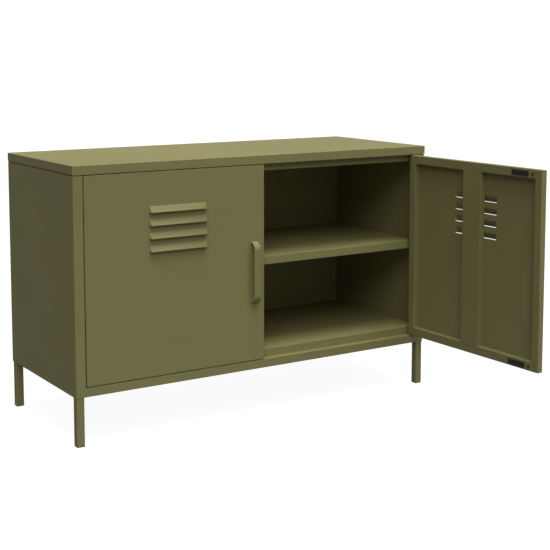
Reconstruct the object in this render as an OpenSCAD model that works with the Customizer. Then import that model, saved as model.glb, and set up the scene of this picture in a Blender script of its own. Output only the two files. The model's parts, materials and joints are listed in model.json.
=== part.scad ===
// Two-door sheet-metal sideboard on four square legs.
// Origin on the floor, at the centre of the lid's outline. +X right, +Y back, +Z up.

/* [Overall] */
// Width over the lid
cab_w = 1000; // [700:1:1400]
// Depth over the lid
cab_d = 400; // [300:1:600]
// Height from the floor to the top of the lid
cab_h = 640; // [500:1:900]
// Thickness of the folded sheet
sheet = 1; // [0.8:0.1:1.2]

/* [Lid] */
// Height of the lid's folded skirt
lid_h = 21; // [15:0.5:35]
// How far the lid stands out past the side panels and the front
lid_over = 0.5; // [0.3:0.1:3]
// Depth of the return flange under the lid
lid_return = 24; // [22:1:40]
// Height of the shadow gap under the lid
shadow_gap = 2; // [1.8:0.1:4]

/* [Carcass] */
// Width of the stile at each side of the front
stile_w = 24; // [22:0.5:40]
// Width of the lip that a closed door faces
lip_w = 10; // [5:0.5:12]
// Width of the folded flanges at the back and the top of the sides
flange_w = 18; // [12:0.5:24]
// Height of the rails at the bottom
rail_h = 21; // [18:0.5:40]
// Depth of the ledge on top of the bottom rails
ledge_d = 21; // [20:0.5:28]
// Height of the deck above the bottom rails
deck_h = 21; // [16:0.5:40]
// Height of the header rail behind the top of the doors
header_h = 19; // [14:0.5:40]
// Depth of the header rail's flanges
header_d = 22; // [12:0.5:40]
// How far the back panel sits in from the back edge of the lid
back_inset = 1.6; // [1.6:0.1:6]

/* [Shelf] */
// Height of the shelf's top above the deck
shelf_up = 232; // [100:1:330]
// Height of the shelf's folded edge
shelf_fold = 20.5; // [14:0.5:35]
// Clearance at each end of the shelf
shelf_gap = 2; // [1:0.1:4]
// Width of a shelf clip
clip_w = 16; // [10:1:30]

/* [Legs] */
// Height of the body above the floor
leg_h = 114; // [60:1:200]
// Side of the square leg tube
leg_w = 19; // [16:0.5:20]
// Wall of the leg tube
leg_wall = 1.5; // [1:0.1:2.5]
// Thickness of the plate on the leg
leg_plate_t = 2.5; // [2:0.1:4]
// Length of the plate on the leg
leg_plate_l = 62; // [56:1:90]
// Radius of a leg bolt
leg_bolt_r = 3; // [2.5:0.1:3]

/* [Doors] */
// Thickness of a door
door_t = 15.7; // [13:0.1:20]
// Gap between a door and its stile
side_gap = 2.2; // [2:0.1:4]
// Gap between the two doors
centre_gap = 2.5; // [2:0.1:6]
// Gap under a door
bottom_gap = 1.7; // [1.6:0.1:4]
// Width of the folded flange round the inside of a door
door_flange = 22; // [16:0.5:24]
// Width of the stiffening rib
rib_w = 64; // [40:1:90]
// Angle that the right door stands open at
right_open = 91; // [0:1:100]

/* [Hinge pins] */
// Radius of a hinge pin
pin_r = 2; // [1.5:0.1:2.2]
// Distance of a pin's axis from the edge and from the face of its door
pin_inset = 4.3; // [4:0.1:4.5]
// Radial clearance of a pin in its bush
pin_fit = 0.05; // [0.02:0.01:0.1]

/* [Louvres] */
// Number of louvres in a door
louvre_n = 4; // [1:1:5]
// Width of a louvre
louvre_w = 150; // [80:1:200]
// Height of a louvre's hood
louvre_h = 15.6; // [12:0.1:20]
// Distance from one louvre to the next
louvre_pitch = 30.4; // [24:0.1:40]
// How far a hood stands out of the door
louvre_out = 8.5; // [5:0.1:11]
// Distance from the top of a door to the top louvre's lower edge
louvre_down = 95; // [60:1:140]

/* [Handles] */
// Length of a handle
handle_l = 154; // [100:1:220]
// Width of a handle
handle_w = 18; // [12:0.5:24]
// Thickness of a handle's strap
handle_t = 3; // [2:0.1:4]
// How far a handle stands out
handle_out = 16.5; // [14:0.1:20]
// Radius of a handle's bends
handle_bend = 21; // [20:0.5:30]
// Distance from the free edge of a door to the middle of its handle
handle_in = 28; // [27:0.5:60]
// Height of the handle's middle above the bottom of its door
handle_up = 218.3; // [120:0.1:300]

/* [Catches] */
// Length of a magnet
magnet_l = 54; // [20:1:80]
// Height of a magnet
magnet_h = 12.4; // [8:0.1:14]
// Distance from the free edge of a door to a magnet
magnet_in = 43; // [38:1:80]
// Radius of a door buffer
buffer_r = 3.5; // [2:0.1:5]
// Distance from the free edge of a door to a buffer
buffer_in = 29.5; // [12:0.5:34]
// Gap between a magnet and the rail that it holds to
catch_gap = 0.3; // [0.2:0.1:1]
// Thickness of a magnet and of a buffer
catch_t = 2; // [1.5:0.1:3]

/* [Hidden] */
$fn = 48;
touch = 0.4;
half_w = cab_w / 2;
half_d = cab_d / 2;

// The body's outer faces
body_x = half_w - lid_over;
front_y = -half_d + lid_over;
back_y = half_d - back_inset;
inner_x = body_x - sheet;
lid_z = cab_h - lid_h;
body_top = lid_z - shadow_gap;
jamb_x = body_x - stile_w;

// Bottom rails, deck and shelf
ledge_z = leg_h + rail_h;
deck_z = ledge_z + deck_h;
shelf_z = deck_z + shelf_up;
clip_z = shelf_z - shelf_fold;

// Doors
door_z0 = ledge_z + bottom_gap;
door_z1 = lid_z - shadow_gap;
door_x0 = centre_gap / 2;
door_x1 = jamb_x - side_gap;
door_mid = (door_x0 + door_x1) / 2;
door_back = front_y + door_t;
pin_x = door_x1 - pin_inset;
pin_y = front_y + pin_inset;

// What a closed door faces: the rails take its magnets, and the lip clears its swing
catch_y = door_back + catch_t + catch_gap;
lip_y = catch_y - sheet;
header_z = lid_z - header_h;

// How far the shelf's front and the lid's opening stand behind the catches
shelf_in = 1.5;
return_in = 8;
shelf_y = catch_y + shelf_in;

// Back flange of the side panels, and the back panel outside it
back_in = back_y - sheet;
flange_in = back_in - sheet;
lid_front_return = catch_y + half_d + return_in;

// Neck of the side panels inside the shadow gap
neck = 2.5;

// Shelf clips
clip_reach = shelf_gap + 10;
clip_drop = 20;
clip_y = half_d * 0.6;

// Fasteners
screw_r = 2.5;
screw_head_r = 4.5;
screw_head_t = 1.5;
drill = 0.1;
tap_screw_l = 8;
back_screw_l = sheet * 2 + shelf_gap - 0.5;
back_screw_parts = [0.12, 0.5, 0.88];
lid_screw_span = 0.62;
plate_side = 4;
bolt_clear = 12;
bolt_pitch = 18;
leg_bolt_near = leg_w + bolt_clear;
leg_bolt_far = leg_bolt_near + bolt_pitch;
leg_bolt_x = inner_x - (leg_w + plate_side) / 2;
leg_bolt_head_t = 4;
leg_bolt_spare = 2;
rail_screw_x = cab_w / 4;
rail_end_gap = 1;
leg_bolt_head_r = leg_bolt_r * 1.7;
nut_r = leg_bolt_r * 1.85;
nut_t = 5;
bush_wall = 1;
bush_collar = 0.6;
bush_gap = 0.3;
pin_in_door = 6;
pin_out = 5;
pin_head_r = 2.9;
pin_head_t = 2;
plug_wall_fit = 0.1;
plug_h = 14;
plug_base = 2;
handle_screw_r = 2;
handle_screw_head_r = handle_screw_r * 1.9;
handle_screw_l = 7;
boss_r = 4.4;
boss_in = 9;
boss_sink = 1.8;

// The hood of a louvre is fullest a little above its lower edge
nose_out = 0.93;
nose_up = 0.18;
// Gap between the folded-back edge of a door and its skin
fold_gap = 0.5;

paint = [0.42, 0.41, 0.26];
dark = [0.17, 0.16, 0.17];
steel = [0.75, 0.75, 0.72];
nylon = [0.12, 0.12, 0.11];

// A box from its two corners
module block(low, high) {
    translate(low) cube([high[0] - low[0], high[1] - low[1], high[2] - low[2]]);
}

// A straight round bar along +Z
module bar(x, y, z0, z1, r) {
    translate([x, y, z0]) cylinder(h = z1 - z0, r = r);
}

// The same shape on the left and on the right
module both_sides() {
    children();
    mirror([1, 0, 0]) children();
}

module front_and_back() {
    children();
    mirror([0, 1, 0]) children();
}

// ---- Lid ----

module lid_screw_places(z) {
    for (side = [-1, 1], step = [-1, 0, 1]) {
        translate([side * (inner_x - flange_w / 2 - neck / 2), step * half_d * lid_screw_span, z])
            children();
    }
}

module lid() {
    color(paint) difference() {
        block([-half_w, -half_d, lid_z], [half_w, half_d, cab_h]);
        block([-half_w + sheet, -half_d + sheet, lid_z + sheet],
            [half_w - sheet, half_d - sheet, cab_h - sheet]);
        block([-half_w + sheet + lid_return, -half_d + lid_front_return, lid_z - 1],
            [half_w - sheet - lid_return, half_d - sheet - lid_return, lid_z + sheet + 1]);
        lid_screw_places(lid_z - 1) cylinder(h = sheet + 2, r = screw_r + drill);
        both_sides() bar(pin_x, pin_y, lid_z - 1, lid_z + sheet + 1, pin_r + bush_wall);
    }
}

module lid_screws() {
    color(steel) lid_screw_places(lid_z - sheet) {
        translate([0, 0, -screw_head_t]) cylinder(h = screw_head_t, r = screw_head_r);
        translate([0, 0, -touch]) cylinder(h = sheet * 2 + tap_screw_l, r = screw_r);
    }
}

// ---- Side panels ----

module side_panel() {
    tube_y = front_y + sheet + leg_w;
    back_tube_y = flange_in - leg_w;
    difference() {
        union() {
            // outer wall, shoulder, neck and top flange
            block([inner_x, front_y, leg_h], [body_x, back_in, body_top]);
            block([body_x - neck, front_y, body_top - sheet], [body_x, back_in, body_top]);
            block([body_x - neck, front_y + neck - sheet, body_top - sheet],
                [body_x - neck + sheet, back_in, lid_z]);
            block([inner_x - flange_w, front_y + neck - sheet, lid_z - sheet],
                [body_x - neck + sheet, back_in, lid_z]);
            // stile, its shoulder and its neck
            block([jamb_x, front_y, leg_h], [body_x, front_y + sheet, body_top]);
            block([jamb_x, front_y, body_top - sheet], [body_x, front_y + neck, body_top]);
            block([jamb_x, front_y + neck - sheet, body_top - sheet],
                [body_x - neck + sheet, front_y + neck, lid_z]);
            // jamb and lip
            block([jamb_x, front_y, ledge_z], [jamb_x + sheet, catch_y, body_top]);
            block([jamb_x - lip_w, lip_y, ledge_z], [jamb_x + sheet, catch_y, body_top]);
            // back flange
            block([inner_x - flange_w, flange_in, leg_h], [body_x, back_in, lid_z - sheet]);
            // bottom flange between the legs
            block([inner_x - flange_w, tube_y + leg_plate_l - leg_w, leg_h],
                [body_x, back_tube_y - leg_plate_l + leg_w, leg_h + sheet]);
        }
        lid_screw_places(lid_z - sheet - 1) cylinder(h = sheet + 2, r = screw_r + drill);
        side_back_screw_places(flange_in - 1) rotate([-90, 0, 0])
            cylinder(h = sheet + 2, r = screw_r + drill);
    }
}

module right_side_panel() {
    color(paint) side_panel();
}

module left_side_panel() {
    color(paint) mirror([1, 0, 0]) side_panel();
}

// ---- Back panel ----

module side_back_screw_places(y) {
    for (side = [-1, 1], part = back_screw_parts) {
        translate([side * (inner_x - flange_w / 2), y, leg_h + part * (body_top - leg_h)])
            children();
    }
}

module rail_back_screw_places(y) {
    for (side = [-1, 1]) {
        translate([side * rail_screw_x, y, leg_h + rail_h / 2]) children();
    }
}

module back_screw_places(y) {
    side_back_screw_places(y) children();
    rail_back_screw_places(y) children();
}

module back_panel() {
    top_x = inner_x - flange_w;
    color(paint) difference() {
        union() {
            block([-body_x, back_in, leg_h], [body_x, back_y, lid_z - sheet]);
            block([-top_x, back_in, lid_z - sheet], [top_x, back_y, lid_z]);
            block([-top_x, back_y - flange_w, lid_z - sheet], [top_x, back_y, lid_z]);
        }
        back_screw_places(back_in - 1) rotate([-90, 0, 0])
            cylinder(h = sheet + 2, r = screw_r + drill);
    }
}

module back_screws() {
    color(steel) back_screw_places(back_y) {
        rotate([-90, 0, 0]) cylinder(h = screw_head_t, r = screw_head_r);
        rotate([90, 0, 0]) cylinder(h = back_screw_l, r = screw_r);
    }
}

// ---- Bottom rails, header rail and deck ----

module front_rail() {
    color(paint) difference() {
        union() {
            block([-jamb_x, front_y, leg_h], [jamb_x, front_y + sheet, ledge_z]);
            block([-jamb_x, front_y, ledge_z - sheet], [jamb_x, front_y + ledge_d, ledge_z]);
            block([-inner_x, front_y + sheet, ledge_z - sheet],
                [inner_x, front_y + ledge_d, ledge_z]);
            block([-jamb_x, front_y, leg_h], [jamb_x, front_y + ledge_d, leg_h + sheet]);
        }
        both_sides() bar(pin_x, pin_y, ledge_z - sheet - 1, ledge_z + 1, pin_r + bush_wall);
    }
}

module back_rail() {
    rail_x = inner_x - flange_w;
    tube_x = inner_x - leg_w - rail_end_gap;
    color(paint) difference() {
        union() {
            block([-rail_x, flange_in, leg_h], [rail_x, back_in, ledge_z]);
            block([-inner_x, flange_in - ledge_d, ledge_z - sheet], [inner_x, flange_in, ledge_z]);
            block([-rail_x, flange_in - touch, ledge_z - sheet], [rail_x, back_in, ledge_z]);
            block([-tube_x, flange_in - ledge_d, leg_h], [tube_x, back_in, leg_h + sheet]);
        }
        rail_back_screw_places(flange_in - 1) rotate([-90, 0, 0])
            cylinder(h = sheet + 2, r = screw_r + drill);
    }
}

module header_rail() {
    header_x = inner_x - flange_w;
    color(paint) {
        block([-header_x, catch_y, header_z], [header_x, catch_y + sheet, lid_z]);
        block([-header_x, catch_y, lid_z - sheet], [header_x, catch_y + header_d, lid_z]);
        block([-header_x, catch_y, header_z], [header_x, catch_y + header_d, header_z + sheet]);
    }
}

module leg_bolt_places(z) {
    both_sides() {
        for (y = [front_y + sheet + leg_bolt_near, front_y + sheet + leg_bolt_far,
            flange_in - leg_bolt_near, flange_in - leg_bolt_far])
            translate([leg_bolt_x, y, z]) children();
    }
}

module deck() {
    deck_x = inner_x - touch;
    deck_back = flange_in - touch;
    fold_x = deck_x - sheet;
    side_y0 = front_y + ledge_d;
    side_y1 = flange_in - ledge_d;
    return_x = leg_bolt_x - leg_w / 2;
    color(paint) difference() {
        union() {
            block([-deck_x, catch_y, deck_z - sheet], [deck_x, deck_back, deck_z]);
            block([-deck_x, catch_y, ledge_z], [deck_x, catch_y + sheet, deck_z]);
            block([-deck_x, deck_back - sheet, ledge_z], [deck_x, deck_back, deck_z]);
            both_sides() {
                block([fold_x, side_y0, ledge_z - sheet], [deck_x, side_y1, deck_z]);
                block([return_x, side_y0, ledge_z - sheet], [deck_x, side_y1, ledge_z]);
            }
        }
        leg_bolt_places(ledge_z - sheet - 1) cylinder(h = sheet + 2, r = leg_bolt_r + drill);
    }
}

// ---- Shelf ----

module shelf() {
    shelf_x = inner_x - shelf_gap;
    shelf_back = flange_in - shelf_gap;
    color(paint) difference() {
        block([-shelf_x, shelf_y, clip_z], [shelf_x, shelf_back, shelf_z]);
        block([-shelf_x + sheet, shelf_y + sheet, clip_z - 1],
            [shelf_x - sheet, shelf_back - sheet, shelf_z - sheet]);
    }
}

module shelf_clips() {
    color(paint) both_sides() front_and_back() {
        block([inner_x - sheet, clip_y - clip_w / 2, clip_z - clip_drop],
            [inner_x, clip_y + clip_w / 2, clip_z]);
        block([inner_x - clip_reach, clip_y - clip_w / 2, clip_z - sheet],
            [inner_x, clip_y + clip_w / 2, clip_z]);
    }
}

// ---- Legs ----

// A front right leg, from the floor to the plate under the deck
module leg() {
    x0 = inner_x - leg_w;
    y0 = front_y + sheet;
    plate_z = ledge_z - sheet - leg_plate_t;
    difference() {
        union() {
            difference() {
                block([x0, y0, plug_base], [inner_x, y0 + leg_w, plate_z]);
                block([x0 + leg_wall, y0 + leg_wall, 0],
                    [inner_x - leg_wall, y0 + leg_w - leg_wall, plate_z]);
            }
            block([x0 - plate_side, y0, plate_z], [inner_x, y0 + leg_plate_l, plate_z + leg_plate_t]);
        }
        leg_bolt_places(plate_z - 1) cylinder(h = leg_plate_t + 2, r = leg_bolt_r + drill);
    }
}

// A plastic foot pressed into the bottom of a front right leg
module foot() {
    x0 = inner_x - leg_w;
    y0 = front_y + sheet;
    inset = leg_wall + plug_wall_fit;
    block([x0, y0, 0], [inner_x, y0 + leg_w, plug_base]);
    block([x0 + inset, y0 + inset, plug_base - touch],
        [inner_x - inset, y0 + leg_w - inset, plug_h]);
}

// Puts a front right piece at the back, whose tubes stand inside the back flange
module to_back() {
    translate([0, front_y + sheet + flange_in, 0]) mirror([0, 1, 0]) children();
}

module front_right_leg() {
    color(paint) leg();
}

module front_left_leg() {
    color(paint) mirror([1, 0, 0]) leg();
}

module back_right_leg() {
    color(paint) to_back() leg();
}

module back_left_leg() {
    color(paint) mirror([1, 0, 0]) to_back() leg();
}

module front_right_foot() {
    color(dark) foot();
}

module front_left_foot() {
    color(dark) mirror([1, 0, 0]) foot();
}

module back_right_foot() {
    color(dark) to_back() foot();
}

module back_left_foot() {
    color(dark) mirror([1, 0, 0]) to_back() foot();
}

module leg_bolts() {
    plate_z = ledge_z - sheet - leg_plate_t;
    grip = leg_plate_t + sheet + nut_t + leg_bolt_spare;
    color(steel) leg_bolt_places(plate_z) {
        translate([0, 0, -leg_bolt_head_t]) cylinder(h = leg_bolt_head_t, r = leg_bolt_head_r);
        translate([0, 0, -touch]) cylinder(h = grip, r = leg_bolt_r);
    }
}

module leg_nuts() {
    color(steel) leg_bolt_places(ledge_z) {
        difference() {
            cylinder(h = nut_t, r = nut_r, $fn = 6);
            translate([0, 0, -1]) cylinder(h = nut_t + 2, r = leg_bolt_r + pin_fit);
        }
    }
}

// ---- Hinge bushes ----

// A nylon bush pressed into a hole in the sheet, with its collar on the door's side
module bush(z_sheet, up, collar_t) {
    barrel = sheet + 2;
    r = pin_r + bush_wall;
    translate([pin_x, pin_y, z_sheet]) mirror([0, 0, up ? 0 : 1]) difference() {
        union() {
            translate([0, 0, -collar_t]) cylinder(h = collar_t, r = r + bush_collar);
            translate([0, 0, -touch]) cylinder(h = barrel, r = r);
        }
        translate([0, 0, -collar_t - 1]) cylinder(h = barrel + collar_t + 2, r = pin_r + pin_fit);
    }
}

module hinge_bushes() {
    color(nylon) both_sides() {
        bush(lid_z, true, shadow_gap - bush_gap);
        bush(ledge_z, false, bottom_gap - bush_gap);
    }
}

// ---- Doors, made as a closed right door ----

module left_closed() {
    mirror([1, 0, 0]) children();
}

module right_opened() {
    translate([pin_x, pin_y, 0]) rotate([0, 0, right_open]) translate([-pin_x, -pin_y, 0])
        children();
}

// Side view of a hood, with its foot on the door's face
module hood_outline(out, low, high) {
    polygon([[0, low], [out, low], [out * nose_out, low + louvre_h * nose_up], [0, high]]);
}

module hood_bar(width, out, low, high) {
    translate([-width / 2, 0, 0]) rotate([90, 0, 90]) linear_extrude(width)
        mirror([1, 0]) hood_outline(out, low, high);
}

module louvre_places() {
    for (i = [0 : louvre_n - 1]) {
        translate([door_mid, front_y, door_z1 - louvre_down - i * louvre_pitch]) children();
    }
}

module door_pan() {
    inner = door_flange - sheet;
    fold_back = sheet + fold_gap;
    difference() {
        union() {
            difference() {
                block([door_x0, front_y, door_z0], [door_x1, door_back, door_z1]);
                // the room inside the folded edge
                block([door_x0 + sheet, front_y + sheet, door_z0 + sheet],
                    [door_x1 - sheet, door_back - sheet, door_z1 - sheet]);
                block([door_x0 + door_flange, front_y + sheet, door_z0 + door_flange],
                    [door_x1 - door_flange, door_back + 1, door_z1 - door_flange]);
            }
            // the edge folded back towards the skin
            difference() {
                block([door_x0 + inner, front_y + fold_back, door_z0 + inner],
                    [door_x1 - inner, door_back, door_z1 - inner]);
                block([door_x0 + door_flange, front_y, door_z0 + door_flange],
                    [door_x1 - door_flange, door_back + 1, door_z1 - door_flange]);
            }
            louvre_places() hood_bar(louvre_w, louvre_out, 0, louvre_h);
        }
        // the hollow of each hood, open to the inside and downwards
        louvre_places() {
            translate([0, sheet + 1, -1]) hood_bar(louvre_w - 2 * sheet,
                louvre_out + 1, 0, louvre_h);
        }
        bar(pin_x, pin_y, door_z1 - sheet - 1, door_z1 + 1, pin_r + pin_fit);
        bar(pin_x, pin_y, door_z0 - 1, door_z0 + sheet + 1, pin_r + pin_fit);
        handle_screw_places(front_y - 1) rotate([-90, 0, 0])
            cylinder(h = sheet + 2, r = handle_screw_r + drill);
    }
}

module door_rib() {
    x0 = door_mid - rib_w / 2;
    x1 = door_mid + rib_w / 2;
    z0 = door_z0 + door_flange;
    z1 = door_z1 - door_flange;
    difference() {
        block([x0, front_y + sheet, z0], [x1, door_back, z1]);
        block([x0 + sheet, front_y, z0 - 1], [x1 - sheet, door_back - sheet, z1 + 1]);
    }
}

module handle_screw_places(y) {
    for (end = [-1, 1]) {
        translate([door_x0 + handle_in, y, door_z0 + handle_up + end * (handle_l / 2 - boss_in)])
            children();
    }
}

// Side outline of the strap: a straight run with a round bend at each end
module strap_outline(r) {
    run = handle_l / 2 - handle_bend;
    for (end = [-1, 1]) {
        translate([handle_out - handle_bend, end * run]) circle(r = r);
    }
    translate([handle_out - handle_bend - r, -run]) square([2 * r, 2 * run]);
}

// What is drawn in side view, across the width of the handle in its place on the door
module across_handle() {
    translate([door_x0 + handle_in - handle_w / 2, front_y, door_z0 + handle_up])
        rotate([90, 0, 90]) linear_extrude(handle_w) mirror([1, 0]) children();
}

module door_handle() {
    across_handle() difference() {
        strap_outline(handle_bend);
        strap_outline(handle_bend - handle_t);
        translate([-3 * handle_bend, -handle_l]) square([3 * handle_bend, 2 * handle_l]);
    }
    // bosses that end inside the strap's bends
    difference() {
        intersection() {
            across_handle() strap_outline(handle_bend - handle_t / 2);
            handle_screw_places(front_y) rotate([90, 0, 0])
                cylinder(h = handle_out - handle_t - boss_sink, r = boss_r);
        }
        handle_screw_places(front_y + 1) rotate([90, 0, 0])
            cylinder(h = tap_screw_l, r = handle_screw_r);
    }
}

module door_handle_screws() {
    handle_screw_places(front_y + sheet) {
        rotate([-90, 0, 0]) cylinder(h = screw_head_t, r = handle_screw_head_r);
        rotate([90, 0, 0]) cylinder(h = handle_screw_l, r = handle_screw_r - drill);
    }
}

// Heights of the catches on the door's bottom and top flanges
module catch_places(from_edge) {
    for (z = [door_z0 + door_flange / 2, door_z1 - door_flange / 2]) {
        translate([door_x0 + from_edge, door_back, z]) children();
    }
}

module door_magnets() {
    catch_places(magnet_in) translate([0, 0, -magnet_h / 2]) cube([magnet_l, catch_t, magnet_h]);
}

module door_buffers() {
    catch_places(buffer_in) rotate([-90, 0, 0]) cylinder(h = catch_t, r = buffer_r);
}

// The pins stand in the door's folded edge and turn in the bushes
module door_pins() {
    bar(pin_x, pin_y, door_z1 - pin_in_door, lid_z + pin_out, pin_r);
    bar(pin_x, pin_y, door_z1 - sheet - pin_head_t, door_z1 - sheet, pin_head_r);
    bar(pin_x, pin_y, ledge_z - pin_out, door_z0 + pin_in_door, pin_r);
    bar(pin_x, pin_y, door_z0 + sheet, door_z0 + sheet + pin_head_t, pin_head_r);
}

module left_door() {
    color(paint) left_closed() door_pan();
}

module right_door() {
    color(paint) right_opened() door_pan();
}

module left_door_rib() {
    color(paint) left_closed() door_rib();
}

module right_door_rib() {
    color(paint) right_opened() door_rib();
}

module left_handle() {
    color(paint) left_closed() door_handle();
}

module right_handle() {
    color(paint) right_opened() door_handle();
}

module left_handle_screws() {
    color(paint) left_closed() door_handle_screws();
}

module right_handle_screws() {
    color(paint) right_opened() door_handle_screws();
}

module left_door_magnets() {
    color(dark) left_closed() door_magnets();
}

module right_door_magnets() {
    color(dark) right_opened() door_magnets();
}

module left_door_buffers() {
    color(dark) left_closed() door_buffers();
}

module right_door_buffers() {
    color(dark) right_opened() door_buffers();
}

module left_door_pins() {
    color(steel) left_closed() door_pins();
}

module right_door_pins() {
    color(steel) right_opened() door_pins();
}

lid();
left_side_panel();
right_side_panel();
back_panel();
deck();
front_rail();
back_rail();
header_rail();
shelf();
shelf_clips();
front_left_leg();
front_right_leg();
back_left_leg();
back_right_leg();
front_left_foot();
front_right_foot();
back_left_foot();
back_right_foot();
leg_bolts();
leg_nuts();
lid_screws();
back_screws();
hinge_bushes();
left_door();
left_door_rib();
left_handle();
left_handle_screws();
left_door_magnets();
left_door_buffers();
left_door_pins();
right_door();
right_door_rib();
right_handle();
right_handle_screws();
right_door_magnets();
right_door_buffers();
right_door_pins();
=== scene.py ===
"""Looks of the two-door sheet-metal sideboard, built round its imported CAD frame."""
import json
import math

import bmesh
import bpy
from mathutils import Matrix, Vector

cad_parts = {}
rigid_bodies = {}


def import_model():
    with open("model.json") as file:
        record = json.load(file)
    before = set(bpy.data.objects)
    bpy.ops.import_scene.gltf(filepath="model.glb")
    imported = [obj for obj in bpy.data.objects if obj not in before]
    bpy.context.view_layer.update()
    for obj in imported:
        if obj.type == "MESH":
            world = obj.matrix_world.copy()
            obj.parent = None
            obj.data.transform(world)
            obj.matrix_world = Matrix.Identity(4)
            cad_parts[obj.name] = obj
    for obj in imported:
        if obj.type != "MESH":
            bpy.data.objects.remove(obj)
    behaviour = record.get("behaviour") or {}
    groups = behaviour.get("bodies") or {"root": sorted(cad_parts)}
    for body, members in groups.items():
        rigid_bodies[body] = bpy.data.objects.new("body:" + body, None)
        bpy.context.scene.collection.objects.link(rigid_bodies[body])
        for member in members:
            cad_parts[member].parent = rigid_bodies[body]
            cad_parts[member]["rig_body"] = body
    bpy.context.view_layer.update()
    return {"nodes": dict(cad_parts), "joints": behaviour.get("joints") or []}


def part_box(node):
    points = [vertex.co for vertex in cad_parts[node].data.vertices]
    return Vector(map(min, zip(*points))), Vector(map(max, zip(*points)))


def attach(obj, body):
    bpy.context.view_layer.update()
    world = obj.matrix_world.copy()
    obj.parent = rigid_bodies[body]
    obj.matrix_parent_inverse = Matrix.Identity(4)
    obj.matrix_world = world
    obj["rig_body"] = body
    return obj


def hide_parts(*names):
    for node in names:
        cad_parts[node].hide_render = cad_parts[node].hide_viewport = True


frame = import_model()

MM = 0.001
SHEET = 1.0 * MM
BEND_OUT = 1.2 * MM
BEND_IN = 0.4 * MM
CUT_ROUND = 0.12 * MM
BEND_STEPS = 3
FOLD_ANGLE = math.radians(40)
MERGE = 0.01 * MM
TINY = 1e-6
CUT_DIST = 1e-7
FINE_CUT_DIST = 1e-8

# A face narrower than this many sheets is a cut edge of the sheet.
CUT_EDGE_SHEETS = 1.3
# The most that a bend takes of its narrower face, and of the edges next to it.
FACE_SHARE = 0.42
NEIGHBOUR_SHARE = 0.45

CABINET, LEFT_LEAF, RIGHT_LEAF = "cabinet", "left_door_leaf", "right_door_leaf"


# ---- Places that the frame gives ----

def joint_named(name):
    return next(j for j in frame["joints"] if j["name"] == name)


hinge = joint_named("right_door_hinge")
PIN = Vector(hinge["pos_m"])
OPEN_ANGLE = math.radians(-hinge["range_deg"][0])
door_low, door_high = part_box("left_door")
DOOR_X0, DOOR_X1 = -door_high.x, -door_low.x
DOOR_Z0, DOOR_Z1 = door_low.z, door_high.z
DOOR_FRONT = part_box("front_rail")[0].y
DOOR_BACK = door_high.y
DOOR_MID = (DOOR_X0 + DOOR_X1) / 2
DOOR_T = DOOR_BACK - DOOR_FRONT


# ---- Mesh helpers ----

def box_mesh(low, high):
    """A bmesh that holds one box."""
    bm = bmesh.new()
    low, high = Vector(low), Vector(high)
    bmesh.ops.create_cube(bm, size=1)
    bmesh.ops.scale(bm, vec=high - low, verts=bm.verts)
    bmesh.ops.translate(bm, vec=(low + high) / 2, verts=bm.verts)
    return bm


def upright_edges(bm):
    return [e for e in bm.edges if abs(e.verts[0].co.z - e.verts[1].co.z) > TINY]


def new_verts(made):
    """The vertices among the geometry that an operator returned."""
    return [v for v in made["geom"] if isinstance(v, bmesh.types.BMVert)]


def new_edges(made, key="geom"):
    return [e for e in made[key] if isinstance(e, bmesh.types.BMEdge)]


def whole_of(bm):
    return [*bm.verts, *bm.edges, *bm.faces]


def cut_and_cap(bm, point, out):
    """Cuts off all that lies on the out side of a plane, and closes the cut."""
    cut = bmesh.ops.bisect_plane(bm, geom=whole_of(bm), plane_co=point, plane_no=out, clear_outer=True,
                                 dist=CUT_DIST)
    bmesh.ops.edgeloop_fill(bm, edges=new_edges(cut, "geom_cut"))


def cylinder(bm, radius, depth, place, segments, top_radius=None):
    """A capped cylinder along its place's Z, centred there. It narrows to top_radius where one is given."""
    top = radius if top_radius is None else top_radius
    bmesh.ops.create_cone(bm, cap_ends=True, segments=segments, radius1=radius, radius2=top, depth=depth,
                          matrix=place)


def round_edges(bm, edges, radius, steps=BEND_STEPS):
    made = bmesh.ops.bevel(bm, geom=list(edges), offset=radius, offset_type="OFFSET",
                           affect="EDGES", segments=steps, profile=0.5, material=-1)
    for face in made["faces"]:
        face.smooth = True


def add_bm(target, source, matrix=None):
    """Puts a copy of one bmesh into another."""
    mesh = bpy.data.meshes.new("part")
    source.to_mesh(mesh)
    if matrix is not None:
        mesh.transform(matrix)
        if matrix.determinant() < 0:
            mesh.flip_normals()
    target.from_mesh(mesh)
    bpy.data.meshes.remove(mesh)


def piece(name, bm, material, body, nodes, matrix=None, weighted=True):
    """Makes the object, lets it ride on its body and hides the CAD nodes that it stands for."""
    mesh = bpy.data.meshes.new(name)
    if weighted:
        for face in bm.faces:
            face.smooth = True
    bm.to_mesh(mesh)
    bm.free()
    if matrix is not None:
        mesh.transform(matrix)
        if matrix.determinant() < 0:
            mesh.flip_normals()
    mesh.materials.append(material)
    obj = bpy.data.objects.new(name, mesh)
    bpy.context.scene.collection.objects.link(obj)
    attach(obj, body)
    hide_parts(*nodes)
    if weighted:
        mark_sharp(mesh)
        modifier = obj.modifiers.new("flat faces stay flat", "WEIGHTED_NORMAL")
        modifier.mode = "FACE_AREA"
        modifier.weight = 100
        modifier.keep_sharp = True
    return obj


def mark_sharp(mesh):
    bm = bmesh.new()
    bm.from_mesh(mesh)
    for edge in bm.edges:
        edge.smooth = len(edge.link_faces) == 2 and edge.calc_face_angle() < FOLD_ANGLE
    bm.to_mesh(mesh)
    bm.free()


def merged(node):
    """A merged copy of a CAD node's mesh, without the normals that its triangles came with."""
    mesh = frame["nodes"][node].data.copy()
    if "custom_normal" in mesh.attributes:
        mesh.attributes.remove(mesh.attributes["custom_normal"])
    bm = bmesh.new()
    bm.from_mesh(mesh)
    bpy.data.meshes.remove(mesh)
    bmesh.ops.remove_doubles(bm, verts=bm.verts, dist=MERGE)
    return bm


def strip_width(face):
    """Width of a long narrow face, whatever its outline."""
    return 2 * face.calc_area() / face.calc_perimeter()


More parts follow.
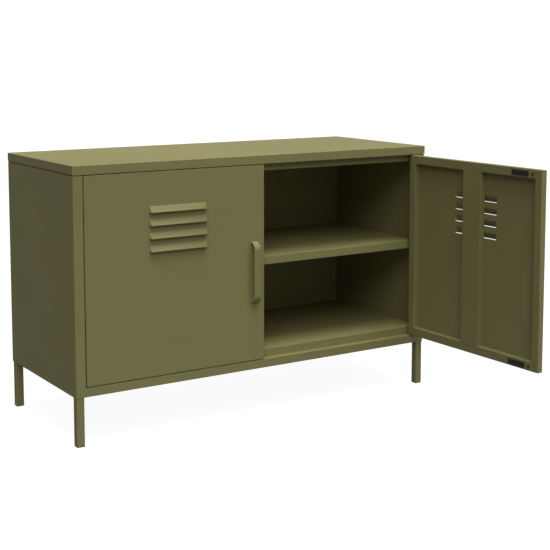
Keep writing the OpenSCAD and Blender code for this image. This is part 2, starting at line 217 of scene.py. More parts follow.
def folded(node, material):
    """A CAD sheet-metal node with round bends and softened cut edges."""
    source = frame["nodes"][node]
    bm = merged(node)
    bmesh.ops.dissolve_limit(bm, angle_limit=math.radians(1), verts=bm.verts, edges=bm.edges)
    weight = bm.edges.layers.float.new("bevel_weight_edge")
    widths = {face: strip_width(face) for face in bm.faces}
    for edge in bm.edges:
        if len(edge.link_faces) != 2 or edge.calc_face_angle() < FOLD_ANGLE:
            continue
        narrow = min(widths[face] for face in edge.link_faces)
        if narrow < CUT_EDGE_SHEETS * SHEET:
            radius = CUT_ROUND
        else:
            room = min(e.calc_length() for v in edge.verts for e in v.link_edges if e is not edge)
            bend = BEND_OUT if edge.is_convex else BEND_IN
            radius = min(bend, FACE_SHARE * narrow, NEIGHBOUR_SHARE * room)
        edge[weight] = radius / BEND_OUT
    for face in bm.faces:
        face.smooth = True
    obj = piece(node + "_folded", bm, material, source["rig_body"], [node], weighted=False)
    modifier = obj.modifiers.new("bends", "BEVEL")
    modifier.limit_method = "WEIGHT"
    modifier.offset_type = "OFFSET"
    modifier.width = BEND_OUT
    modifier.segments = BEND_STEPS
    modifier.use_clamp_overlap = False
    modifier.harden_normals = True
    modifier.miter_outer = "MITER_SHARP"


def solids(node):
    """(low, high) of each separate solid of a CAD node."""
    bm = merged(node)
    left, found = set(bm.verts), []
    while left:
        todo, island = [left.pop()], []
        while todo:
            vert = todo.pop()
            island.append(vert.co.copy())
            for edge in vert.link_edges:
                other = edge.other_vert(vert)
                if other in left:
                    left.remove(other)
                    todo.append(other)
        found.append((Vector(map(min, *island)), Vector(map(max, *island))))
    bm.free()
    return sorted(found, key=lambda box: tuple(round(v, 5) for v in box[0]))


# ---- Materials ----

class Nodes:
    """Shorthand for building a material's nodes."""

    def __init__(self, name):
        self.material = bpy.data.materials.new(name)
        self.material.use_nodes = True
        self.tree = self.material.node_tree
        self.tree.nodes.clear()
        out = self.add("ShaderNodeOutputMaterial")
        self.shader = self.add("ShaderNodeBsdfPrincipled")
        self.link(self.shader.outputs["BSDF"], out.inputs["Surface"])
        self.place = self.add("ShaderNodeTexCoord").outputs["Object"]

    def add(self, kind, **settings):
        made = self.tree.nodes.new(kind)
        for key, value in settings.items():
            setattr(made, key, value)
        return made

    def link(self, source, target):
        self.tree.links.new(source, target)

    def noise(self, scale, detail=2.0, roughness=0.5):
        made = self.add("ShaderNodeTexNoise")
        self.link(self.place, made.inputs["Vector"])
        made.inputs["Scale"].default_value = scale
        made.inputs["Detail"].default_value = detail
        made.inputs["Roughness"].default_value = roughness
        return made.outputs["Fac"]

    def spread(self, source, low, high, start=0.3, end=0.7):
        made = self.add("ShaderNodeMapRange")
        self.link(source, made.inputs["Value"])
        for name, value in (("From Min", start), ("From Max", end), ("To Min", low), ("To Max", high)):
            made.inputs[name].default_value = value
        return made.outputs["Result"]

    def math(self, kind, a, b):
        made = self.add("ShaderNodeMath", operation=kind)
        for socket, value in zip(made.inputs, (a, b)):
            if isinstance(value, (int, float)):
                socket.default_value = value
            else:
                self.link(value, socket)
        return made.outputs[0]

    def blend(self, share, a, b):
        """Colour a where share is 0, and b where it is 1."""
        made = self.add("ShaderNodeMix", data_type="RGBA")
        self.link(share, made.inputs[0])
        for socket, value in ((made.inputs[6], a), (made.inputs[7], b)):
            if isinstance(value, tuple):
                socket.default_value = (*value, 1)
            else:
                self.link(value, socket)
        return made.outputs[2]

    def edges(self, radius):
        """1 close to an edge and 0 on the flat."""
        soft = self.add("ShaderNodeBevel", samples=6)
        soft.inputs["Radius"].default_value = radius
        flat = self.add("ShaderNodeNewGeometry").outputs["Normal"]
        turn = self.add("ShaderNodeVectorMath", operation="DOT_PRODUCT")
        self.link(soft.outputs["Normal"], turn.inputs[0])
        self.link(flat, turn.inputs[1])
        return self.spread(turn.outputs["Value"], 1.0, 0.0, 0.75, 0.995)

    def bump(self, height, strength, distance, under=None):
        made = self.add("ShaderNodeBump")
        made.inputs["Strength"].default_value = strength
        made.inputs["Distance"].default_value = distance
        self.link(height, made.inputs["Height"])
        if under is not None:
            self.link(under, made.inputs["Normal"])
        return made.outputs["Normal"]

    def finish(self, colour, roughness, normal, specular=0.5, metallic=0.0):
        self.link(colour, self.shader.inputs["Base Color"])
        self.link(roughness, self.shader.inputs["Roughness"])
        self.link(normal, self.shader.inputs["Normal"])
        self.shader.inputs["Specular IOR Level"].default_value = specular
        self.shader.inputs["Metallic"].default_value = metallic
        return self.material


def powder_coat():
    """Olive powder coat: fine orange peel, slightly uneven gloss, thinner on the bends, and lighter there
    as a painted highlight.
    """
    n = Nodes("olive_powder_coat")
    olive = (0.256, 0.236, 0.094)
    deep = (0.240, 0.221, 0.087)
    pale = (0.296, 0.273, 0.118)
    clouds = n.spread(n.noise(4.0, 3.0, 0.5), 0.0, 1.0)
    specks = n.spread(n.noise(1600.0, 1.0, 0.5), 0.0, 0.5, 0.45, 0.75)
    body = n.blend(clouds, olive, deep)
    body = n.blend(n.math("MULTIPLY", specks, 0.35), body, pale)
    # Lighter along bends and edges: partly a thinner coat, partly a painted highlight.
    edge = n.edges(1.4 * MM)
    thin_coat_and_highlight = n.math("MULTIPLY", edge, n.spread(n.noise(60.0, 3.0, 0.6), 0.35, 1.0))
    colour = n.blend(thin_coat_and_highlight, body, pale)
    peel = n.noise(620.0, 3.0, 0.55)
    grain = n.noise(2400.0, 2.0, 0.5)
    normal = n.bump(peel, 0.22, 0.12 * MM)
    normal = n.bump(grain, 0.10, 0.05 * MM, normal)
    rough = n.math("ADD", n.spread(n.noise(9.0, 3.0, 0.6), 0.44, 0.54),
                   n.spread(n.noise(700.0, 2.0, 0.5), -0.03, 0.03))
    rough = n.math("SUBTRACT", rough, n.math("MULTIPLY", thin_coat_and_highlight, 0.06))
    return n.finish(colour, rough, normal, specular=0.3)


def zinc_plate():
    """Zinc with a faint spangle."""
    n = Nodes("zinc_plated_steel")
    bright, dull = (0.62, 0.62, 0.60), (0.46, 0.47, 0.47)
    tint = n.blend(n.spread(n.noise(260.0, 3.0, 0.6), 0.0, 1.0), bright, dull)
    rough = n.spread(n.noise(420.0, 3.0, 0.6), 0.26, 0.44)
    return n.finish(tint, rough, n.bump(n.noise(1500.0, 2.0), 0.15, 0.04 * MM), metallic=1.0)


def moulded(name, dark, light, roughness, grain_scale, grain_height):
    """A moulded plastic or rubber with a fine grain."""
    n = Nodes(name)
    tint = n.blend(n.spread(n.noise(90.0, 3.0, 0.6), 0.0, 1.0), dark, light)
    rough = n.spread(n.noise(300.0, 2.0, 0.5), *roughness)
    return n.finish(tint, rough, n.bump(n.noise(grain_scale, 2.0), 0.3, grain_height))


def studio_floor():
    """White that glows a little, so that shadows on it stay faint."""
    n = Nodes("studio_floor")
    light, dark = (0.15, 0.15, 0.15), (0.13, 0.13, 0.13)
    tint = n.blend(n.spread(n.noise(1.5, 2.0), 0.0, 1.0), light, dark)
    rough = n.spread(n.noise(8.0, 2.0), 0.82, 0.9)
    n.shader.inputs["Emission Color"].default_value = (1, 1, 1, 1)
    n.shader.inputs["Emission Strength"].default_value = 0.93
    return n.finish(tint, rough, n.bump(n.noise(300.0, 2.0), 0.05, 0.1 * MM), specular=0.1)


PAINT = powder_coat()
ZINC = zinc_plate()
FOOT_PLASTIC = moulded("foot_plastic", (0.018, 0.018, 0.019), (0.026, 0.026, 0.026),
                       roughness=(0.45, 0.6), grain_scale=1100.0, grain_height=0.06 * MM)
CASING = moulded("magnet_casing", (0.030, 0.028, 0.036), (0.042, 0.039, 0.048),
                 roughness=(0.4, 0.55), grain_scale=1500.0, grain_height=0.05 * MM)
RUBBER = moulded("buffer_rubber", (0.024, 0.023, 0.025), (0.034, 0.033, 0.034),
                 roughness=(0.65, 0.8), grain_scale=1300.0, grain_height=0.05 * MM)
NYLON = moulded("bush_nylon", (0.020, 0.020, 0.019), (0.028, 0.028, 0.026),
                roughness=(0.4, 0.52), grain_scale=900.0, grain_height=0.04 * MM)


# ---- Sheet-metal pieces ----

for node in ("lid", "back_panel", "deck", "front_rail", "back_rail", "header_rail", "shelf",
             "shelf_clips", "left_door_rib", "right_door_rib"):
    folded(node, PAINT)


# ---- Side panels, shaped on the right ----

STILE_W = 24 * MM
LIP_W = 10 * MM
FLANGE_W = 18 * MM
NECK = 2.5 * MM
RAIL_H = 21 * MM
LIP_GAP = 1.3 * MM


def folded_strip(path, radii, low, high):
    """An upright sheet with the plan of path, whose corners have those radii."""
    bm = bmesh.new()
    row = [bm.verts.new((x, y, low)) for x, y in path]
    for a, b in zip(row, row[1:]):
        bm.edges.new((a, b))
    for vert, radius in zip(row[1:-1], radii):
        bmesh.ops.bevel(bm, geom=[vert], offset=radius, offset_type="OFFSET", affect="VERTICES",
                        segments=BEND_STEPS, profile=0.5, material=-1)
    made = bmesh.ops.extrude_edge_only(bm, edges=list(bm.edges))
    bmesh.ops.translate(bm, vec=(0, 0, high - low), verts=new_verts(made))
    return bm


def side_panel():
    """The right side's shell: lip, jamb, stile, wall and back flange, and a neck up into the lid."""
    low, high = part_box("right_side_panel")
    outer_x, front, back = high.x, low.y, high.y
    bottom, top = low.z, DOOR_Z1
    jamb_x = outer_x - STILE_W
    flange_x = outer_x - SHEET - FLANGE_W
    lip_y = front + DOOR_T + LIP_GAP

    def behind_stile(middle):
        return middle.y > front + BEND_OUT and middle.x < jamb_x + SHEET

    path = ((jamb_x - LIP_W, lip_y), (jamb_x, lip_y), (jamb_x, front),
            (outer_x, front), (outer_x, back), (flange_x, back))
    bm = folded_strip(path, (BEND_IN, BEND_OUT, BEND_OUT, BEND_OUT), bottom, top)
    rail_top = bottom + RAIL_H
    bmesh.ops.bisect_plane(bm, geom=whole_of(bm), plane_co=(0, 0, rail_top), plane_no=(0, 0, 1))
    cut_off = []
    for face in bm.faces:
        middle = face.calc_center_median()
        if middle.z < rail_top and behind_stile(middle):
            cut_off.append(face)
    bmesh.ops.delete(bm, geom=cut_off, context="FACES")
    bmesh.ops.recalc_face_normals(bm, faces=bm.faces)
    wall = max(bm.faces, key=lambda f: f.calc_area())
    if wall.normal.x < 0:
        bmesh.ops.reverse_faces(bm, faces=bm.faces)
    crown = []
    for edge in bm.edges:
        middle = (edge.verts[0].co + edge.verts[1].co) / 2
        at_top = min(v.co.z for v in edge.verts) > top - MERGE
        if at_top and not behind_stile(middle) and middle.y < back - MERGE:
            crown.append(edge)
    for step in ("shoulder", "neck", "flange"):
        made = bmesh.ops.extrude_edge_only(bm, edges=crown)
        verts, crown = new_verts(made), new_edges(made)
        if step == "shoulder":
            for vert in verts:
                vert.co.x = min(vert.co.x, outer_x - NECK)
                vert.co.y = max(vert.co.y, front + NECK)
        elif step == "neck":
            bmesh.ops.translate(bm, vec=(0, 0, high.z - top), verts=verts)
            crown = [e for e in crown if all(v.co.x > outer_x - NECK - MERGE for v in e.verts)]
        else:
            for vert in verts:
                vert.co.x = flange_x
    bmesh.ops.remove_doubles(bm, verts=bm.verts, dist=MERGE)
    return bm


def bottom_flange():
    """The flange under the side panel, between the legs' plates."""
    low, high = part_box("right_side_panel")
    front_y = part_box("front_right_leg")[1].y
    back_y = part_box("back_right_leg")[0].y
    bm = box_mesh((high.x - SHEET - FLANGE_W, front_y, low.z),
                  (high.x - 0.6 * SHEET, back_y, low.z + SHEET))
    round_edges(bm, list(bm.edges), CUT_ROUND, 2)
    return bm


def sheet_piece(name, bm, body, nodes, matrix):
    """A painted shell that is thickened inwards by one sheet."""
    obj = piece(name, bm, PAINT, body, nodes, matrix, weighted=False)
    wall = obj.modifiers.new("sheet", "SOLIDIFY")
    wall.thickness = SHEET
    wall.offset = -1
    wall.use_even_offset = True
    wall.use_quality_normals = True


MIRROR = Matrix.Diagonal((-1, 1, 1, 1))
SIDES = (("left", MIRROR), ("right", Matrix.Identity(4)))

for side, matrix in SIDES:
    nodes = [f"{side}_side_panel"]
    sheet_piece(f"{side}_side_folded", side_panel(), CABINET, nodes, matrix)
    piece(f"{side}_side_bottom_flange", bottom_flange(), PAINT, CABINET, nodes, matrix)


# ---- Legs ----

LEG_WALL = 1.5 * MM
LEG_CORNER = 2 * MM
PLATE_T = 2.5 * MM
PLATE_CORNER = 3 * MM
PLATE_EDGE = 0.3 * MM
BEAD_OUT = 1 * MM
BEAD_IN = 0.5 * MM
BEAD_ROUND = 0.7 * MM


def leg():
    """A front right leg: a square tube welded to its mounting plate."""
    low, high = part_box("front_right_leg")
    foot_low, foot_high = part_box("front_right_foot")
    under_plate = high.z - PLATE_T
    bm = box_mesh((foot_low.x, foot_low.y, low.z), (foot_high.x, foot_high.y, under_plate))
    ends = [f for f in bm.faces if abs(f.normal.z) > 0.9]
    bmesh.ops.delete(bm, geom=ends, context="FACES_ONLY")
    round_edges(bm, [e for e in bm.edges if len(e.link_faces) == 2], LEG_CORNER, 4)
    bmesh.ops.solidify(bm, geom=list(bm.faces), thickness=LEG_WALL)
    plate = box_mesh((low.x, low.y, under_plate), high)
    round_edges(plate, upright_edges(plate), PLATE_CORNER, 4)
    round_edges(plate, [e for e in plate.edges if e.calc_face_angle() > FOLD_ANGLE], PLATE_EDGE, 2)
    add_bm(bm, plate)
    plate.free()
    # The weld bead shows on the tube's two inner sides.
    bead = box_mesh((foot_low.x - BEAD_OUT, foot_low.y + BEAD_IN, under_plate - BEAD_OUT),
                    (foot_high.x - BEAD_IN, foot_high.y + BEAD_OUT, under_plate + BEAD_IN))
    round_edges(bead, list(bead.edges), BEAD_ROUND, 3)
    add_bm(bm, bead)
    bead.free()
    return bm


LEGS_FRONT, LEGS_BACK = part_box("front_right_leg")[0].y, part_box("back_right_leg")[1].y
TO_BACK = Matrix.Translation((0, LEGS_FRONT + LEGS_BACK, 0)) @ Matrix.Diagonal((1, -1, 1, 1))

for side, across in SIDES:
    for end, along in (("front", Matrix.Identity(4)), ("back", TO_BACK)):
        node = f"{end}_{side}_leg"
        piece(f"{node}_tube", leg(), PAINT, CABINET, [node], across @ along)


# ---- Doors, shaped as a closed right door ----

DOOR_FLANGE = 22 * MM
LOUVRE_HALF = 75 * MM
LOUVRE_H = 15.6 * MM
LOUVRE_OUT = 8.5 * MM
LOUVRE_PITCH = 30.4 * MM
LOUVRE_DOWN = 95 * MM
LOUVRE_N = 4
LOUVRE_SLIT = 0.25 * MM
# The grid that the skin is cut into: shares of a louvre's height, and distances from its end.
LOUVRE_ROWS = (0, 0.1, 0.4, 0.7, 0.93, 0.97, 1)
LOUVRE_ENDS = (0, 0.3 * MM, 0.8 * MM, 1.6 * MM, 2.6 * MM)
ROOT_EASE = 0.07
ROOT_POWER = 1.6


def hood_height(across, up):
    """How far the hood stands out, at a distance from its end. up is 0 at its lip and 1 at its root."""
    end = math.sin(min(1.0, across / LOUVRE_ENDS[-1]) * math.pi / 2)
    slope = max(1 - up, 0.0)
    if slope < ROOT_EASE:
        slope = ROOT_EASE * (slope / ROOT_EASE) ** ROOT_POWER
    return LOUVRE_OUT * slope * end


def louvre_low(i):
    """The height of the lower edge of louvre i, counted from the top."""
    return DOOR_Z1 - LOUVRE_DOWN - i * LOUVRE_PITCH


def press_louvre(bm, low):
    """Cuts the skin along a louvre's lower edge and presses the hood out."""
    high = low + LOUVRE_H
    left, right = DOOR_MID - LOUVRE_HALF, DOOR_MID + LOUVRE_HALF
    near = 0.02 * MM

    def in_row(vert):
        return (abs(vert.co.y - DOOR_FRONT) < near and low - near < vert.co.z < high + near
                and left - near < vert.co.x < right + near)

    lip = [e for e in bm.edges if all(in_row(v) and abs(v.co.z - low) < near for v in e.verts)]
    bmesh.ops.split_edges(bm, edges=lip)
    hood = set()
    for face in bm.faces:
        if all(in_row(v) for v in face.verts):
            hood.update(face.verts)
    for vert in hood:
        across = min(vert.co.x - left, right - vert.co.x)
        up = (vert.co.z - low) / LOUVRE_H
        at_lip = up < 0.001
        for face in vert.link_faces:
            face.smooth = face.smooth or all(v in hood for v in face.verts)
        height = hood_height(max(across, 0.0), up)
        if at_lip and height > 0:
            vert.co.z += LOUVRE_SLIT
        vert.co.y -= height


def door_pan():
    """A closed right door's shell: its skin with louvres, its folded edge, and the returns inside."""
    bm = box_mesh((DOOR_X0, DOOR_FRONT, DOOR_Z0), (DOOR_X1, DOOR_BACK, DOOR_Z1))
    back = max(bm.faces, key=lambda f: f.normal.y)
    bmesh.ops.inset_region(bm, faces=[back], thickness=DOOR_FLANGE, use_even_offset=True)
    rim = list(back.edges)
    bmesh.ops.delete(bm, geom=[back], context="FACES_ONLY")
    made = bmesh.ops.extrude_edge_only(bm, edges=rim)
    bmesh.ops.translate(bm, vec=(0, 1.5 * SHEET - DOOR_T, 0), verts=new_verts(made))
    bends = [e for e in bm.edges if len(e.link_faces) == 2 and e.calc_face_angle() > FOLD_ANGLE]
    round_edges(bm, bends, BEND_OUT)
    skin = [max(bm.faces, key=lambda f: f.calc_area() * -f.normal.y)]
    cuts = []
    for i in range(LOUVRE_N):
        cuts += [((0, 0, louvre_low(i) + share * LOUVRE_H), (0, 0, 1)) for share in LOUVRE_ROWS]
    for step in LOUVRE_ENDS:
        for side in (-1, 1):
            cuts.append(((DOOR_MID + side * (LOUVRE_HALF - step), 0, 0), (1, 0, 0)))
    for point, normal in cuts:
        geom = set(skin)
        for face in skin:
            geom.update(face.edges)
            geom.update(face.verts)
        cut = bmesh.ops.bisect_plane(bm, geom=list(geom), plane_co=point, plane_no=normal, dist=CUT_DIST)
        skin = [f for f in cut["geom"] if isinstance(f, bmesh.types.BMFace)]
    for i in range(LOUVRE_N):
        press_louvre(bm, louvre_low(i))
    return bm


TO_OPEN = Matrix.Translation(PIN) @ Matrix.Rotation(OPEN_ANGLE, 4, "Z") @ Matrix.Translation(-PIN)
LEAVES = (("left", LEFT_LEAF, MIRROR), ("right", RIGHT_LEAF, TO_OPEN))


# ---- Handles ----

HANDLE_L = 154 * MM
HANDLE_W = 18 * MM
HANDLE_T = 3 * MM
HANDLE_OUT = 16.5 * MM
HANDLE_BEND = 21 * MM
HANDLE_TURN = math.radians(82)
HANDLE_EDGE = 1.3 * MM
BOSS_R = 4.4 * MM
BOSS_IN = 9 * MM
# How much shorter a boss is than the space behind the strap.
BOSS_SHORT = 1.8 * MM
# How deep in a bend it ends, as a share of the strap's thickness.
BOSS_COVER = 0.8
HANDLE_X = DOOR_X0 + 28 * MM
HANDLE_Z = DOOR_Z0 + 218.3 * MM


def handle():
    """A strap that bends back into the door at both ends, on two bosses that end inside its bends."""
    run = HANDLE_L / 2 - HANDLE_BEND
    outer_y = DOOR_FRONT - HANDLE_OUT
    half_w = HANDLE_W / 2
    bm = box_mesh((HANDLE_X - half_w, outer_y, HANDLE_Z - run),
                  (HANDLE_X + half_w, outer_y + HANDLE_T, HANDLE_Z + run))
    round_edges(bm, upright_edges(bm), HANDLE_EDGE, 5)
    for end in (-1, 1):
        tip = next(f for f in bm.faces if f.normal.z * end > 0.99)
        centre = (HANDLE_X, outer_y + HANDLE_BEND, HANDLE_Z + end * run)
        bmesh.ops.spin(bm, geom=[tip, *tip.edges, *tip.verts], cent=centre, axis=(1, 0, 0),
                       angle=-HANDLE_TURN * end, steps=12, use_merge=False)
        if tip.is_valid:
            bmesh.ops.delete(bm, geom=[tip], context="FACES_ONLY")
    cut_and_cap(bm, (0, DOOR_FRONT, 0), (0, 1, 0))
    boss_l = HANDLE_OUT - HANDLE_T - BOSS_SHORT
    boss_up = HANDLE_L / 2 - BOSS_IN
    reach = HANDLE_BEND - BOSS_COVER * HANDLE_T
    lean = math.asin((boss_up - run) / reach)
    for end in (-1, 1):
        boss = bmesh.new()
        place = Matrix.Translation((HANDLE_X, DOOR_FRONT - boss_l / 2, HANDLE_Z + end * boss_up))
        cylinder(boss, BOSS_R, boss_l, place @ Matrix.Rotation(math.pi / 2, 4, "X"), 32)
        out = Vector((0, -math.cos(lean), end * math.sin(lean)))
        bend_centre = Vector((HANDLE_X, outer_y + HANDLE_BEND, HANDLE_Z + end * run))
        cut_and_cap(boss, bend_centre + out * reach, out)
        add_bm(bm, boss)
        boss.free()
    bmesh.ops.recalc_face_normals(bm, faces=bm.faces)
    return bm


# ---- Fasteners ----

SCREW_HEAD_T = 1.5 * MM
BOLT_HEAD_T = 4 * MM
SHANK_OVERLAP = 0.2 * MM


def crown_edges(bm, head_t):
    """The edges at the top of a head that stands on z 0."""
    return [e for e in bm.edges if all(v.co.z > head_t * 0.9 for v in e.verts)]


def add_shank(bm, radius, length, segments, point):
    """A shank that hangs from a head, with its end narrowed to a share of its radius."""
    place = Matrix.Translation((0, 0, SHANK_OVERLAP - length / 2))
    cylinder(bm, radius * point, length, place, segments, top_radius=radius)


def pan_screw(head_r, shank_r, shank_l):
    """A pan-head screw along Z with a cross recess: its head stands on z 0 and its shank hangs down."""
    bm = bmesh.new()
    head_t = SCREW_HEAD_T
    cylinder(bm, head_r, head_t, Matrix.Translation((0, 0, head_t / 2)), 24)
    round_edges(bm, crown_edges(bm, head_t), head_t * 0.55, 3)
    slot_w, slot_l = head_r * 0.13, head_r * 0.52
    for axis in ((1, 0, 0), (0, 1, 0)):
        for reach in (-slot_l, -slot_w, slot_w, slot_l):
            top = [f for f in bm.faces if f.normal.z > 0.99]
            geom = {x for f in top for x in (f, *f.edges, *f.verts)}
            point = Vector(axis) * reach
            bmesh.ops.bisect_plane(bm, geom=list(geom), plane_co=point, plane_no=axis,
                                   dist=FINE_CUT_DIST)
    cross = []
    for face in bm.faces:
        middle = face.calc_center_median()
        across, along = sorted((abs(middle.x), abs(middle.y)))
        if face.normal.z > 0.99 and across < slot_w and along < slot_l:
            cross.append(face)
    made = bmesh.ops.extrude_face_region(bm, geom=cross)
    bmesh.ops.delete(bm, geom=cross, context="FACES_KEEP_BOUNDARY")
    floor = new_verts(made)
    bmesh.ops.translate(bm, vec=(0, 0, -head_t * 0.6), verts=floor)
    bmesh.ops.scale(bm, vec=(0.7, 0.7, 1), verts=floor)
    add_shank(bm, shank_r, shank_l, segments=16, point=0.55)
    return bm


def hex_bolt(head_r, shank_r, shank_l):
    """A flanged hexagon bolt along Z: its head stands on z 0 and its shank hangs down."""
    bm = bmesh.new()
    head_t = BOLT_HEAD_T
    flange_t = head_t * 0.25
    sunk = flange_t / 2
    cylinder(bm, head_r, flange_t, Matrix.Translation((0, 0, flange_t / 2)), 32, top_radius=head_r * 0.93)
    cylinder(bm, head_r * 0.86, head_t - sunk, Matrix.Translation((0, 0, (head_t + sunk) / 2)), 6)
    round_edges(bm, crown_edges(bm, head_t), head_t * 0.1, 2)
    add_shank(bm, shank_r, shank_l, segments=20, point=0.85)
    return bm


def fasteners(node, one, head_t, outward):
    """The same zinc fastener at each solid of a CAD node. outward is the way that the heads point."""
    out = Vector(outward)
    turn = out.to_track_quat("Z", "Y").to_matrix().to_4x4()
    whole = bmesh.new()
    for low, high in solids(node):
        reach = (high - low).dot(Vector(map(abs, out))) / 2
        seat = (low + high) / 2 + out * (reach - head_t)
        add_bm(whole, one, Matrix.Translation(seat) @ turn)
    one.free()
    piece(node + "_turned", whole, ZINC, frame["nodes"][node]["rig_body"], [node])


fasteners("lid_screws", pan_screw(head_r=4.5 * MM, shank_r=2.5 * MM, shank_l=9 * MM),
          SCREW_HEAD_T, (0, 0, -1))
fasteners("back_screws", pan_screw(head_r=4.5 * MM, shank_r=2.5 * MM, shank_l=3.4 * MM),
          SCREW_HEAD_T, (0, 1, 0))
fasteners("leg_bolts", hex_bolt(head_r=5.1 * MM, shank_r=3 * MM, shank_l=10 * MM),
          BOLT_HEAD_T, (0, 0, -1))


# ---- Door fittings ----

CASING_ROUND = 0.5 * MM
TRAY_RIM = 1.1 * MM
TRAY_SLOPE = 0.2 * MM
TRAY_DEPTH = 0.45 * MM
POLE_IN = 4 * MM
POLE_HALF_T = 1.1 * MM
POLE_OFF_MIDDLE = 2.3 * MM
POLE_ROUND = 0.15 * MM
# How far a pole's foot and its top lie under the casing's face.
POLE_FOOT = 0.7 * MM
POLE_TOP = 0.05 * MM
BUFFER_TAPER = 0.94
BUFFER_ROUND = 0.6 * MM


def magnet(low, high):
    """A catch casing along X that faces +Y, with two steel poles in a shallow tray."""
    bm = box_mesh(low, high)
    edges = [e for e in bm.edges if not all(abs(v.co.y - low.y) < TINY for v in e.verts)]
    round_edges(bm, edges, CASING_ROUND, 3)
    face = max((f for f in bm.faces if f.normal.y > 0.99), key=lambda f: f.calc_area())
    bmesh.ops.inset_region(bm, faces=[face], thickness=TRAY_RIM, depth=0, use_even_offset=True)
    bmesh.ops.inset_region(bm, faces=[face], thickness=TRAY_SLOPE, depth=-TRAY_DEPTH, use_even_offset=True)
    middle = (low + high) / 2
    for side in (-1, 1):
        z = middle.z + side * POLE_OFF_MIDDLE
        pole = box_mesh((low.x + POLE_IN, high.y - POLE_FOOT, z - POLE_HALF_T),
                        (high.x - POLE_IN, high.y - POLE_TOP, z + POLE_HALF_T))
        round_edges(pole, list(pole.edges), POLE_ROUND, 2)
        add_bm(bm, pole)
        pole.free()
    return bm


def buffer(low, high):
    """A rubber disc that faces +Y, with a rounded rim."""
    bm = bmesh.new()
    radius = (high.x - low.x) / 2
    place = Matrix.Translation((low + high) / 2) @ Matrix.Rotation(-math.pi / 2, 4, "X")
    cylinder(bm, radius, high.y - low.y, place, 32, top_radius=radius * BUFFER_TAPER)
    rim = [e for e in bm.edges if all(v.co.y > high.y - TINY for v in e.verts)]
    round_edges(bm, rim, BUFFER_ROUND, 4)
    return bm


def on_door(node, shape):
    """The pieces of a left door's node, shaped as on a closed right door."""
    whole = bmesh.new()
    for low, high in solids(node):
        one = shape(Vector((-high.x, low.y, low.z)), Vector((-low.x, high.y, high.z)))
        add_bm(whole, one)
        one.free()
    return whole


def screw_on_skin(low, high):
    """A screw from the inside of the skin into a boss, with its head towards +Y."""
    bm = pan_screw(head_r=3.8 * MM, shank_r=1.9 * MM, shank_l=6 * MM)
    middle = (low + high) / 2
    seat = Vector((middle.x, high.y - SCREW_HEAD_T, middle.z))
    bm.transform(Matrix.Translation(seat) @ Matrix.Rotation(-math.pi / 2, 4, "X"))
    return bm


for side, body, matrix in LEAVES:
    sheet_piece(f"{side}_door_pan", door_pan(), body, [f"{side}_door"], matrix)
    piece(f"{side}_handle_strap", handle(), PAINT, body, [f"{side}_handle"], matrix)
    for name, node, shape, material, slot in (
            ("magnet_casings", "door_magnets", magnet, CASING, "magnet_casing"),
            ("buffer_pads", "door_buffers", buffer, RUBBER, "buffer_rubber"),
            ("handle_screw_heads", "handle_screws", screw_on_skin, PAINT, "olive_paint")):
        shaped = on_door(f"left_{node}", shape)
        piece(f"{side}_{name}", shaped, material, body, [f"{side}_{node}"], matrix)


# ---- Feet ----

FOOT_BASE_H = 2 * MM
FOOT_ROUND = 0.7 * MM
PLUG_IN = 1.6 * MM
PLUG_OVERLAP = 0.3 * MM
PLUG_ROUND = 0.5 * MM


def foot(low, high):
    """A plastic foot: a cushioned base under the tube and a plug in it."""
    bm = box_mesh(low, (high.x, high.y, low.z + FOOT_BASE_H))
    round_edges(bm, upright_edges(bm), LEG_CORNER, 4)
    under = [e for e in bm.edges if all(v.co.z < low.z + TINY for v in e.verts)]
    round_edges(bm, under, FOOT_ROUND, 3)
    inset = Vector((PLUG_IN, PLUG_IN, 0))
    plug = box_mesh(low + inset + Vector((0, 0, FOOT_BASE_H - PLUG_OVERLAP)), high - inset)
    round_edges(plug, list(plug.edges), PLUG_ROUND, 2)
    add_bm(bm, plug)
    plug.free()
    return bm


for end in ("front", "back"):
    for side in ("left", "right"):
        node = f"{end}_{side}_foot"
        piece(f"{node}_moulded", foot(*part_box(node)), FOOT_PLASTIC, CABINET, [node])


# ---- CAD nodes that keep their own mesh ----

OWN_MESH = {"leg_nuts": ZINC, "left_door_pins": ZINC, "right_door_pins": ZINC, "hinge_bushes": NYLON}

for node, material in OWN_MESH.items():
    data = frame["nodes"][node].data
    data.materials.clear()
    data.materials.append(material)


# ---- Studio ----

FLOOR_HALF = 15
LAMP_FAR = 4
CAMERA_PLACE = (-1.5598, -2.6791, 0.9071)
CAMERA_DOWN_DEG = 6.198
CAMERA_RIGHT_DEG = 32.668
CAMERA_LENS = 79.57
CAMERA_SHIFT = -0.18


def far_softbox(name, azimuth, elevation, spread, strength):
    """A broad light from far away. Azimuth 0 is in front, and 90 is on the right."""
    data = bpy.data.lights.new(name, "SUN")
    data.angle = math.radians(spread)
    data.energy = strength
    obj = bpy.data.objects.new(name, data)
    bpy.context.scene.collection.objects.link(obj)
    a, e = math.radians(azimuth), math.radians(elevation)
    toward = Vector((math.sin(a) * math.cos(e), -math.cos(a) * math.cos(e), math.sin(e)))
    obj.location = toward * LAMP_FAR
    obj.rotation_euler = toward.to_track_quat("Z", "Y").to_euler()
    return obj


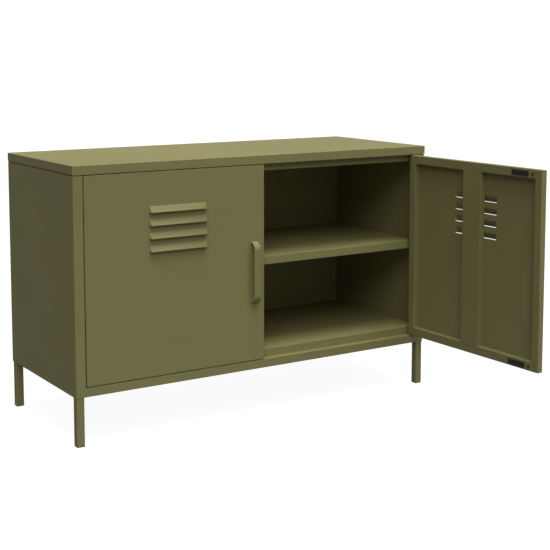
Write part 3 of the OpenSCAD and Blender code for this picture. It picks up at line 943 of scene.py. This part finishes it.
def floor_piece():
    bm = bmesh.new()
    bmesh.ops.create_grid(bm, x_segments=1, y_segments=1, size=FLOOR_HALF)
    mesh = bpy.data.meshes.new("studio_floor")
    bm.to_mesh(mesh)
    bm.free()
    mesh.materials.append(studio_floor())
    floor = bpy.data.objects.new("studio_floor", mesh)
    bpy.context.scene.collection.objects.link(floor)
    floor.visible_diffuse = False
    floor.visible_glossy = False


def lamps():
    far_softbox("overhead_softbox", azimuth=0, elevation=80, spread=40, strength=2.95)
    far_softbox("front_right_softbox", azimuth=35, elevation=40, spread=40, strength=0.46)
    far_softbox("front_left_softbox", azimuth=-35, elevation=38, spread=30, strength=0.72)
    far_softbox("low_front_softbox", azimuth=0, elevation=8, spread=50, strength=0.11)
    back = far_softbox("back_softbox", azimuth=145, elevation=25, spread=40, strength=0.7)
    back.visible_glossy = False


def surroundings():
    """White behind the object, and only a weak soft light on it."""
    world = bpy.data.worlds.new("white_studio")
    bpy.context.scene.world = world
    world.use_nodes = True
    tree = world.node_tree
    tree.nodes.clear()
    out = tree.nodes.new("ShaderNodeOutputWorld")
    mix = tree.nodes.new("ShaderNodeMixShader")
    path = tree.nodes.new("ShaderNodeLightPath")
    soft, white = tree.nodes.new("ShaderNodeBackground"), tree.nodes.new("ShaderNodeBackground")
    soft.inputs["Strength"].default_value = 0.15
    white.inputs["Color"].default_value = (1, 1, 1, 1)
    white.inputs["Strength"].default_value = 1.05
    soft.inputs["Color"].default_value = (0.99, 1.0, 1.03, 1)
    tree.links.new(path.outputs["Is Camera Ray"], mix.inputs[0])
    tree.links.new(soft.outputs[0], mix.inputs[1])
    tree.links.new(white.outputs[0], mix.inputs[2])
    tree.links.new(mix.outputs[0], out.inputs["Surface"])


def camera():
    """A view from the front left and a little from above, with part of its drop made by the shift."""
    data = bpy.data.cameras.new("camera")
    data.sensor_width = 36
    data.lens = CAMERA_LENS
    data.shift_y = CAMERA_SHIFT
    data.clip_end = 60
    obj = bpy.data.objects.new("camera", data)
    bpy.context.scene.collection.objects.link(obj)
    obj.location = CAMERA_PLACE
    obj.rotation_euler = (math.radians(90 - CAMERA_DOWN_DEG), 0, math.radians(-CAMERA_RIGHT_DEG))
    bpy.context.scene.camera = obj


floor_piece()
lamps()
surroundings()
camera()
view = bpy.context.scene.view_settings
view.view_transform = "Standard"
view.look = "None"
view.exposure = 0
view.gamma = 1
